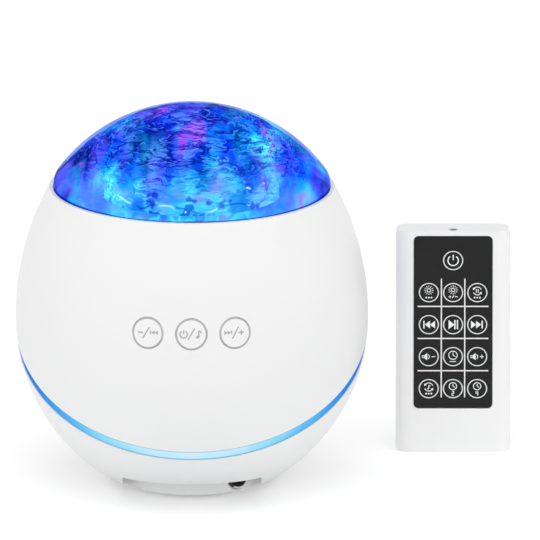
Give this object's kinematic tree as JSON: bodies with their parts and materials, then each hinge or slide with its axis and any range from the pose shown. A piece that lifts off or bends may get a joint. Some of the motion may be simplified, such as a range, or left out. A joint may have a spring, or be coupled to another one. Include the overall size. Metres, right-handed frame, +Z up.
{
  "type": "ocean wave projector",
  "caption": "Egg-shaped night light projector with a clear dome over a turning rippled lens, a slanted light ring, push buttons and a small remote control.",
  "frame": {"origin": "middle of the projector's foot ring, on the table", "axes": "+Z up, the buttons face -Y, the remote stands to +X"},
  "size_m": [0.1855, 0.132, 0.1444],
  "materials": {
    "clear_dome": "clear",
    "wave_lens_blue": "clear rippled",
    "white_gloss": "satin",
    "white_inner": "matte",
    "ring_glow": "frosted",
    "board_green": "satin",
    "black_parts": "matte",
    "overlay_black": "satin",
    "steel": "bright",
    "foot_rubber": "matte",
    "led_yellow": "gloss",
    "contact_brass": "bright",
    "magnet_grey": "satin",
    "gear_acetal": "satin",
    "cone_paper": "matte",
    "emitter_smoke": "clear"
  },
  "bodies": {
    "projector": {"outer_dome": "clear_dome", "bezel_ring": "white_inner", "gear_motor": "steel", "light_deck": "white_inner", "led_board": "board_green", "led_emitters": "led_yellow", "ir_receiver": "black_parts", "upper_shell": "white_gloss", "light_ring": "ring_glow", "ring_led_strip": "led_yellow", "lower_shell": "white_gloss", "bottom_cover": "white_gloss", "foot_ring": "foot_rubber", "dc_socket": "black_parts", "button_board": "board_green", "tact_switches": "black_parts", "main_board": "board_green", "board_parts": "black_parts", "speaker_frame": "black_parts", "speaker_cone": "cone_paper", "speaker_magnet": "magnet_grey", "tie_screws": "steel", "cover_screws": "steel", "deck_screws": "steel", "small_screws": "steel"},
    "lens_turntable": {"wave_lens": "wave_lens_blue", "lens_carrier": "gear_acetal"},
    "pinion": {"drive_pinion": "gear_acetal", "motor_shaft": "steel"},
    "minus_button": {"button_minus": "white_gloss"},
    "power_button": {"button_power": "white_gloss"},
    "plus_button": {"button_plus": "white_gloss"},
    "remote": {"remote_front": "white_gloss", "remote_back": "white_gloss", "remote_overlay": "overlay_black", "remote_board": "board_green", "snap_domes": "steel", "ir_emitter": "emitter_smoke", "coin_cell": "steel", "cell_contacts": "contact_brass"},
    "remote_door": {"battery_door": "white_gloss", "door_screw": "steel"},
    "power_key": {"key_power": "overlay_black"},
    "light_key": {"key_light": "overlay_black"},
    "brightness_key": {"key_brightness": "overlay_black"},
    "turn_key": {"key_turn": "overlay_black"},
    "previous_key": {"key_previous": "overlay_black"},
    "play_key": {"key_play": "overlay_black"},
    "next_key": {"key_next": "overlay_black"},
    "volume_down_key": {"key_volume_down": "overlay_black"},
    "timer_off_key": {"key_timer_off": "overlay_black"},
    "volume_up_key": {"key_volume_up": "overlay_black"},
    "music_key": {"key_music": "overlay_black"},
    "timer_two_key": {"key_timer_two": "overlay_black"},
    "timer_four_key": {"key_timer_four": "overlay_black"}
  },
  "joints": [
    {"name": "lens_spin", "type": "hinge", "parent": "projector", "child": "lens_turntable", "pos_m": [0, 0, 0.0957], "axis": [0, 0, 1], "continuous": true},
    {"name": "pinion_spin", "type": "hinge", "parent": "projector", "child": "pinion", "pos_m": [-0.0298, 0.0298, 0.0957], "axis": [0, 0, 1], "continuous": true},
    {"name": "minus_press", "type": "slide", "parent": "projector", "child": "minus_button", "axis": [0.2487, 0.9686, 0], "range_m": [0, 0.0005], "stiffness_N_per_m": 800},
    {"name": "power_press", "type": "slide", "parent": "projector", "child": "power_button", "axis": [0, 1, 0], "range_m": [0, 0.0005], "stiffness_N_per_m": 800},
    {"name": "plus_press", "type": "slide", "parent": "projector", "child": "plus_button", "axis": [-0.2487, 0.9686, 0], "range_m": [0, 0.0005], "stiffness_N_per_m": 800},
    {"name": "remote_lift", "type": "slide", "parent": "projector", "child": "remote", "axis": [0, 0, 1], "range_m": [0, 0.12]},
    {"name": "power_key_press", "type": "slide", "parent": "remote", "child": "power_key", "axis": [0, 1, 0], "range_m": [0, 0.00025], "stiffness_N_per_m": 1200},
    {"name": "light_key_press", "type": "slide", "parent": "remote", "child": "light_key", "axis": [0, 1, 0], "range_m": [0, 0.00025], "stiffness_N_per_m": 1200},
    {"name": "brightness_key_press", "type": "slide", "parent": "remote", "child": "brightness_key", "axis": [0, 1, 0], "range_m": [0, 0.00025], "stiffness_N_per_m": 1200},
    {"name": "turn_key_press", "type": "slide", "parent": "remote", "child": "turn_key", "axis": [0, 1, 0], "range_m": [0, 0.00025], "stiffness_N_per_m": 1200},
    {"name": "previous_key_press", "type": "slide", "parent": "remote", "child": "previous_key", "axis": [0, 1, 0], "range_m": [0, 0.00025], "stiffness_N_per_m": 1200},
    {"name": "play_key_press", "type": "slide", "parent": "remote", "child": "play_key", "axis": [0, 1, 0], "range_m": [0, 0.00025], "stiffness_N_per_m": 1200},
    {"name": "next_key_press", "type": "slide", "parent": "remote", "child": "next_key", "axis": [0, 1, 0], "range_m": [0, 0.00025], "stiffness_N_per_m": 1200},
    {"name": "volume_down_key_press", "type": "slide", "parent": "remote", "child": "volume_down_key", "axis": [0, 1, 0], "range_m": [0, 0.00025], "stiffness_N_per_m": 1200},
    {"name": "timer_off_key_press", "type": "slide", "parent": "remote", "child": "timer_off_key", "axis": [0, 1, 0], "range_m": [0, 0.00025], "stiffness_N_per_m": 1200},
    {"name": "volume_up_key_press", "type": "slide", "parent": "remote", "child": "volume_up_key", "axis": [0, 1, 0], "range_m": [0, 0.00025], "stiffness_N_per_m": 1200},
    {"name": "music_key_press", "type": "slide", "parent": "remote", "child": "music_key", "axis": [0, 1, 0], "range_m": [0, 0.00025], "stiffness_N_per_m": 1200},
    {"name": "timer_two_key_press", "type": "slide", "parent": "remote", "child": "timer_two_key", "axis": [0, 1, 0], "range_m": [0, 0.00025], "stiffness_N_per_m": 1200},
    {"name": "timer_four_key_press", "type": "slide", "parent": "remote", "child": "timer_four_key", "axis": [0, 1, 0], "range_m": [0, 0.00025], "stiffness_N_per_m": 1200},
    {"name": "door_swing", "type": "hinge", "parent": "remote", "child": "remote_door", "pos_m": [0.098, 0.0472, 0.0068], "axis": [-1, 0, 0], "range_deg": [0, 75]}
  ],
  "couplings": [
    {"joint": "pinion_spin", "follows": "lens_spin", "ratio": -4}
  ]
}
